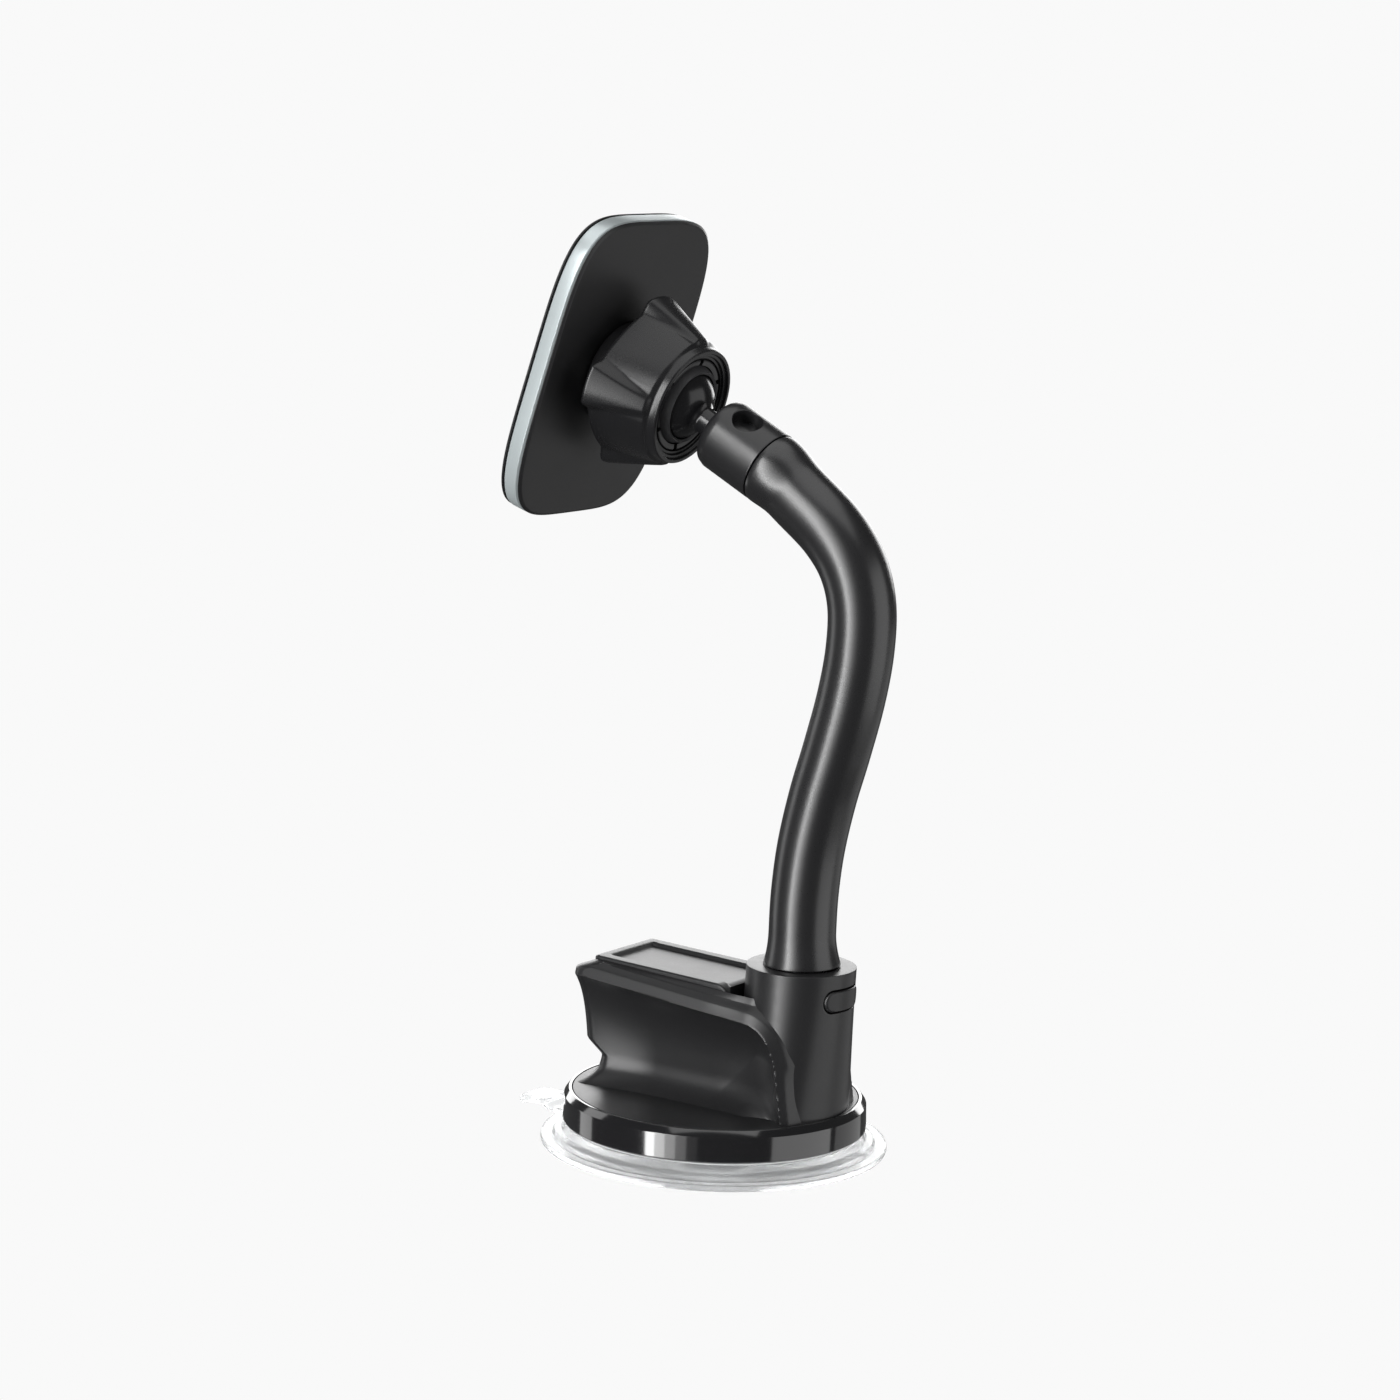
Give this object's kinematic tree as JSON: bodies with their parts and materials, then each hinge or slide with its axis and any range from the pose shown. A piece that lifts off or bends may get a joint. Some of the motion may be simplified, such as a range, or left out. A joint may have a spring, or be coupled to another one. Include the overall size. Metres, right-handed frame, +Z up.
{
  "type": "car phone mount",
  "caption": "Suction-cup phone mount for a car: locking base with a lever, flexible arm, and a magnetic head on a clamped ball joint.",
  "frame": {"origin": "middle of the suction pad's underside, on the surface it sticks to", "axes": "+Z up; the plane x = 0 is the plane of symmetry; the lock lever and the pull tab point to -Y, the arm's tower stands at +Y, and the magnetic face looks to -Y and slightly up"},
  "size_m": [0.075, 0.0878, 0.1991],
  "materials": {
    "satin_black": "satin moulded",
    "gloss_black": "polished",
    "soft_black": "soft touch",
    "silicone_black": "matt",
    "sleeve_rubber": "satin",
    "clear_tpu": "clear",
    "steel": "plain",
    "rim_alloy": "satin anodised",
    "magnet_plate": "nickel plated",
    "nylon": "moulded"
  },
  "bodies": {
    "base": {"suction_pad": "clear_tpu", "base_ring": "gloss_black", "base_plate": "steel", "base_housing": "satin_black", "base_screw_1": "steel", "base_screw_2": "steel", "base_screw_3": "steel", "lever_pivot_pin": "steel", "rocker_pin": "steel", "return_spring": "steel", "arm_foot": "steel", "neck_core_1": "steel", "neck_sleeve_1": "sleeve_rubber"},
    "lever": {"lock_lever": "satin_black"},
    "rocker": {"rocker_arm": "nylon"},
    "stud": {"pull_stud": "nylon", "stud_cross_pin": "steel"},
    "button": {"arm_button": "satin_black"},
    "neck_2": {"neck_core_2": "steel", "neck_sleeve_2": "sleeve_rubber"},
    "neck_3": {"neck_core_3": "steel", "neck_sleeve_3": "sleeve_rubber"},
    "neck_4": {"neck_core_4": "steel", "neck_sleeve_4": "sleeve_rubber"},
    "arm_end": {"neck_core_5": "steel", "neck_sleeve_5": "sleeve_rubber", "arm_collar": "satin_black", "ball_stud": "gloss_black"},
    "liner": {"ball_liner": "nylon"},
    "collet": {"collet_socket": "satin_black"},
    "nut": {"locking_nut": "satin_black"},
    "head": {"head_back_cover": "soft_black", "head_rim_band": "rim_alloy", "head_front_plate": "soft_black", "face_pad": "silicone_black", "yoke_plate": "steel", "collet_screw": "steel", "disc_magnet_1": "magnet_plate", "disc_magnet_2": "magnet_plate", "disc_magnet_3": "magnet_plate", "disc_magnet_4": "magnet_plate", "disc_magnet_5": "magnet_plate", "disc_magnet_6": "magnet_plate", "disc_magnet_7": "magnet_plate", "disc_magnet_8": "magnet_plate"}
  },
  "joints": [
    {"name": "lever_lift", "type": "hinge", "parent": "base", "child": "lever", "pos_m": [0, 0.0058, 0.0344], "axis": [-1, 0, 0], "range_deg": [0, 50]},
    {"name": "rocker_tilt", "type": "hinge", "parent": "base", "child": "rocker", "pos_m": [0, -0.006, 0.025], "axis": [-1, 0, 0], "range_deg": [0, 27.5]},
    {"name": "stud_drop", "type": "slide", "parent": "base", "child": "stud", "axis": [0, 0, -1], "range_m": [0, 0.0025], "deforming": ["return_spring"]},
    {"name": "button_push", "type": "slide", "parent": "base", "child": "button", "axis": [0, -1, 0], "range_m": [0, 0.0012], "stiffness_N_per_m": 600, "springref_m": -0.0006},
    {"name": "arm_bend_1", "type": "hinge", "parent": "base", "child": "neck_2", "pos_m": [0, 0.0206, 0.059], "axis": [1, 0, 0], "range_deg": [-15, 15]},
    {"name": "arm_sway", "type": "hinge", "parent": "neck_2", "child": "neck_3", "pos_m": [0, 0.02315, 0.07625], "axis": [0, 0.9747, -0.2234], "range_deg": [-15, 15]},
    {"name": "arm_bend_2", "type": "hinge", "parent": "neck_3", "child": "neck_4", "pos_m": [0, 0.02832, 0.09534], "axis": [1, 0, 0], "range_deg": [-15, 15]},
    {"name": "arm_bend_3", "type": "hinge", "parent": "neck_4", "child": "arm_end", "pos_m": [0, 0.0285, 0.12996], "axis": [1, 0, 0], "range_deg": [-12, 12]},
    {"name": "head_pitch", "type": "hinge", "parent": "arm_end", "child": "liner", "pos_m": [0, -0.01728, 0.16044], "axis": [1, 0, 0], "range_deg": [-25, 25]},
    {"name": "head_yaw", "type": "hinge", "parent": "liner", "child": "collet", "pos_m": [0, -0.01728, 0.16044], "axis": [0, 0.306, 0.952], "range_deg": [-25, 25]},
    {"name": "head_roll", "type": "hinge", "parent": "collet", "child": "head", "pos_m": [0, -0.01728, 0.16044], "axis": [0, 0.952, -0.306], "continuous": true},
    {"name": "nut_turn", "type": "hinge", "parent": "collet", "child": "nut", "pos_m": [0, -0.01728, 0.16044], "axis": [0, 0.952, -0.306], "range_deg": [0, 360]}
  ],
  "couplings": [
    {"joint": "rocker_tilt", "follows": "lever_lift", "ratio": 0.54},
    {"joint": "stud_drop", "follows": "lever_lift", "m_per_rad": 0.00286}
  ]
}
